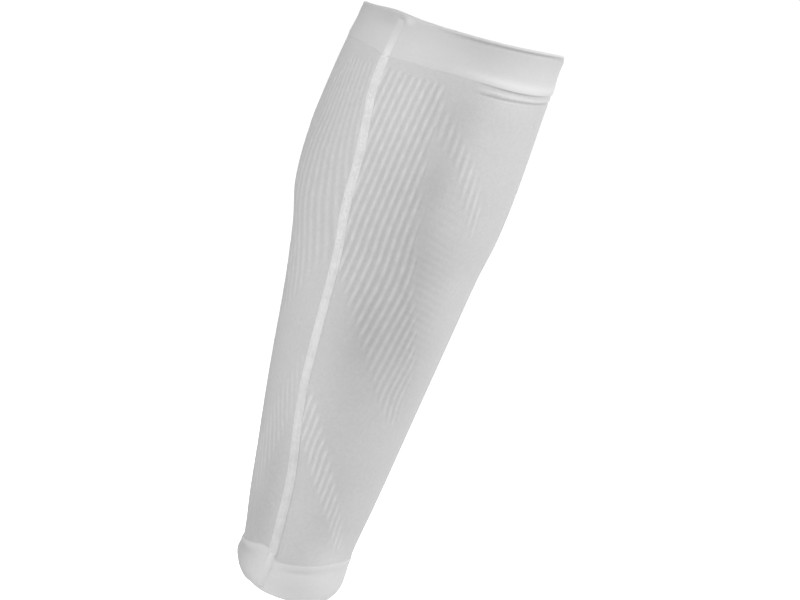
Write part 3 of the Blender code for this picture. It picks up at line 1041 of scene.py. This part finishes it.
def zigzag_thread(low, high, mirrored):
    """One thread that crosses the seam to and fro, dipping under at each turn."""
    stitches = int((high - low) / STITCH_PITCH)
    sizes = form()

    def centre(up, lift):
        levels = low + (high - low) * up
        crossing = up * stitches
        swing = 1 - 2 * np.abs((crossing % 2) - 1)
        around = seam_aside(levels) + mirrored * swing * STITCH_REACH
        out = sizes.seam_rise * (1.0 - 0.5 * np.abs(swing) ** 4) + lift
        return leg_points(around / mean_radius(levels), levels, out)

    def shape(across, up):
        turn = 2 * math.pi * across
        step = 0.2 / stitches / STEPS_PER_STITCH
        middle = centre(up, 0)
        ahead = centre(up + step, 0) - middle
        ahead /= np.linalg.norm(ahead, axis=-1, keepdims=True)
        away = centre(up, MM) - middle
        away /= np.linalg.norm(away, axis=-1, keepdims=True)
        aside = np.cross(ahead, away)
        ring = aside * np.cos(turn)[:, None] + away * np.sin(turn)[:, None]
        on_cloth = np.stack([across, up], axis=-1)
        return middle + ring * THREAD_RADIUS, on_cloth, thread_fullness(up)

    thread = bent_grid(THREAD_SIDES, stitches * STEPS_PER_STITCH, shape)
    bmesh.ops.holes_fill(thread, edges=thread.edges[:], sides=THREAD_SIDES)
    return thread


def seam_material():
    look = finish_values()
    material, start, shader = knit_surface("seam_cloth", 0.8, 0.1)
    uneven = soft_noise(start, 500.0)
    fullness = start.node("ShaderNodeAttribute", {"attribute_name": "fullness"}, out=2)
    patchy = soft_noise(start, 130.0)
    tone = fullness + (uneven - 0.5) * 0.4 + (patchy - 0.5) * 0.5
    dark = [0.6 * value for value in look.thread]
    colour = tone.mix(opaque(dark), opaque(look.thread))
    normal = start.node("ShaderNodeBump", None, {"Strength": 0.3, "Distance": STITCH_DEPTH, "Height": uneven})
    links = material.node_tree.links
    links.new(colour.socket, shader.inputs["Base Color"])
    links.new(normal.socket, shader.inputs["Normal"])
    return material


class SLEEVE_OT_seam(bpy.types.Operator):
    """Lays the flat seam up the back and over both cuffs"""

    bl_idname = "sleeve.seam"
    bl_label = "Flat Seam"

    def execute(self, context):
        sizes = form()
        foot = foot_level(seam_aside(sizes.length - sizes.top_cuff))
        low_edge = low_edge_level(seam_aside(sizes.bottom_cuff))
        thread = seam_material()
        cuff = bpy.data.materials["cuff_cloth"]

        def on_body(around, levels):
            return 0.0

        def on_top_cuff(around, levels):
            return top_cuff_face(around, sizes.top_cuff * (levels - foot) / (sizes.length - foot))

        def on_bottom_cuff(around, levels):
            return bottom_cuff_face(around, levels / low_edge)

        strip = seam_strip(FLAT_SEAM, low_edge - TAPE_OVERLAP, foot + TAPE_OVERLAP,
                           lambda up: sizes.seam_width, lambda up: sizes.seam_rise, on_body,
                           thread_fullness, SEAM_ROWS)
        finished("back_seam_tape", strip, thread, ["back_seam"])
        strip = seam_strip(SOFT_SEAM, foot - TAPE_OVERLAP, sizes.length - TAPE_BELOW_RIM,
                           lambda up: 0.0060 - 0.0014 * up,
                           lambda up: 0.0010 - 0.0009 * smooth_step(0.0, 0.7, up), on_top_cuff,
                           lambda up: 0.80 - 0.50 * smooth_step(0.1, 0.9, up), CUFF_SEAM_ROWS)
        finished("top_seam_tape", strip, cuff, ["seam_top"])
        strip = seam_strip(SOFT_SEAM, TAPE_ABOVE_HEM, low_edge + TAPE_OVERLAP,
                           lambda up: BOTTOM_TAPE_WIDTH,
                           lambda up: 0.0005 + 0.0005 * smooth_step(0.6, 1.0, up), on_bottom_cuff,
                           lambda up: 0.54 + 0.2 * smooth_step(0.4, 1.0, up), CUFF_SEAM_ROWS)
        finished("bottom_seam_tape", strip, cuff, ["seam_bottom"])
        for name, mirrored in (("cover_thread", 1), ("looper_thread", -1)):
            stitches = zigzag_thread(low_edge + TAPE_OVERLAP, foot - TAPE_OVERLAP, mirrored)
            finished(name, stitches, thread, [])
        return {"FINISHED"}


# The camera stands off the leg's axis at an angle round from the back, in metres and degrees. Its lens is
# in millimetres.
CAMERA_ROUND = 30.0
CAMERA_AWAY = 1.35
CAMERA_HEIGHT = 0.4117
CAMERA_YAW = -0.503
CAMERA_PITCH = 9.871
CAMERA_ROLL = 17.90
CAMERA_LENS = 109.78


def add_camera():
    lens = bpy.data.cameras.new("photo_view")
    lens.lens = CAMERA_LENS
    lens.sensor_width = 36.0
    camera = bpy.data.objects.new("photo_view", lens)
    bpy.context.scene.collection.objects.link(camera)
    turn = math.radians(CAMERA_ROUND)
    camera.location = (CAMERA_AWAY * math.sin(turn), -CAMERA_AWAY * math.cos(turn), CAMERA_HEIGHT)
    upright = Matrix.Rotation(turn + math.radians(CAMERA_YAW), 4, "Z")
    tilted = Matrix.Rotation(math.radians(90 - CAMERA_PITCH), 4, "X")
    rolled = Matrix.Rotation(math.radians(CAMERA_ROLL), 4, "Z")
    camera.rotation_euler = (upright @ tilted @ rolled).to_euler()
    bpy.context.scene.camera = camera


LIGHT_AWAY = 2.0
LIGHT_SIZE = 1.2


def add_area_light(name, around, above, power):
    """A round soft light at an angle round from the back and an angle above, facing the sleeve."""
    light = bpy.data.lights.new(name, "AREA")
    light.shape = "DISK"
    light.size = LIGHT_SIZE
    light.energy = power
    lamp = bpy.data.objects.new(name, light)
    bpy.context.scene.collection.objects.link(lamp)
    away = Vector((math.sin(around) * math.cos(above), -math.cos(around) * math.cos(above), math.sin(above)))
    lamp.location = Vector((0, 0, form().length / 2)) + LIGHT_AWAY * away
    lamp.rotation_euler = away.to_track_quat("Z", "Y").to_euler()


def add_surroundings(strength):
    """White to the eye, and dimmer as light, so that the sleeve keeps its shading."""
    world = bpy.data.worlds.new("pale_surroundings")
    world.use_nodes = True
    tree = world.node_tree
    shine = tree.nodes["Background"]
    seen = Signal(tree).node("ShaderNodeLightPath", out=0)
    level = seen * (1.02 - strength) + strength
    tree.links.new(level.socket, shine.inputs["Strength"])
    shine.inputs["Color"].default_value = (1, 1, 1, 1)
    bpy.context.scene.world = world


def floor_material(strength):
    """A pale floor that shines white to the eye and stays dimmer as light."""
    material = bpy.data.materials.new("pale_floor")
    material.use_nodes = True
    tree = material.node_tree
    shader = tree.nodes["Principled BSDF"]
    shader.inputs["Base Color"].default_value = (0.4, 0.4, 0.4, 1)
    shader.inputs["Roughness"].default_value = 0.9
    shader.inputs["Emission Color"].default_value = (1, 1, 1, 1)
    seen = Signal(tree).node("ShaderNodeLightPath", out=0)
    level = seen * (1.0 - strength) + strength
    tree.links.new(level.socket, shader.inputs["Emission Strength"])
    return material


class SLEEVE_OT_stage(bpy.types.Operator):
    """Sets the camera, the lights and a pale floor"""

    bl_idname = "sleeve.stage"
    bl_label = "Camera and Light"

    def execute(self, context):
        stage = context.scene.sleeve_stage
        add_camera()
        add_surroundings(stage.surround)
        for name, around, above, power in (
            ("outer_light", 130, 25, stage.outer_power),
            ("back_light", 10, 25, stage.back_power),
            ("inner_light", -45, 20, stage.inner_power),
            ("shin_light", -150, 20, stage.shin_power),
        ):
            add_area_light(name, math.radians(around), math.radians(above), power)
        ground = bmesh.new()
        bmesh.ops.create_circle(ground, cap_ends=True, radius=6.0, segments=96)
        bmesh.ops.translate(ground, verts=ground.verts[:], vec=(0, 0, -stage.floor_gap))
        mesh = bpy.data.meshes.new("floor")
        ground.to_mesh(mesh)
        ground.free()
        mesh.materials.append(floor_material(stage.surround))
        floor = bpy.data.objects.new("floor", mesh)
        context.scene.collection.objects.link(floor)
        context.scene.view_settings.view_transform = "Standard"
        return {"FINISHED"}


class SLEEVE_PT_panel(bpy.types.Panel):
    """The steps that build the sleeve"""

    bl_idname = "SLEEVE_PT_panel"
    bl_label = "Calf Sleeve"
    bl_space_type = "VIEW_3D"
    bl_region_type = "UI"
    bl_category = "Sleeve"

    def draw(self, context):
        for step in STEPS:
            self.layout.operator(step.bl_idname)


STEPS = (SLEEVE_OT_body, SLEEVE_OT_cuffs, SLEEVE_OT_seam, SLEEVE_OT_stage)
SETTINGS = {"sleeve_form": SleeveForm, "sleeve_finish": SleeveFinish, "sleeve_stage": SleeveStage}


def register():
    for kind in (*SETTINGS.values(), *STEPS, SLEEVE_PT_panel):
        bpy.utils.register_class(kind)
    for name, kind in SETTINGS.items():
        setattr(bpy.types.Scene, name, PointerProperty(type=kind))


def unregister():
    for name in SETTINGS:
        delattr(bpy.types.Scene, name)
    for kind in (SLEEVE_PT_panel, *reversed(STEPS), *reversed(SETTINGS.values())):
        bpy.utils.unregister_class(kind)


def main():
    register()
    bpy.ops.sleeve.body()
    bpy.ops.sleeve.cuffs()
    bpy.ops.sleeve.seam()
    bpy.ops.sleeve.stage()


if __name__ == "__main__":
    main()
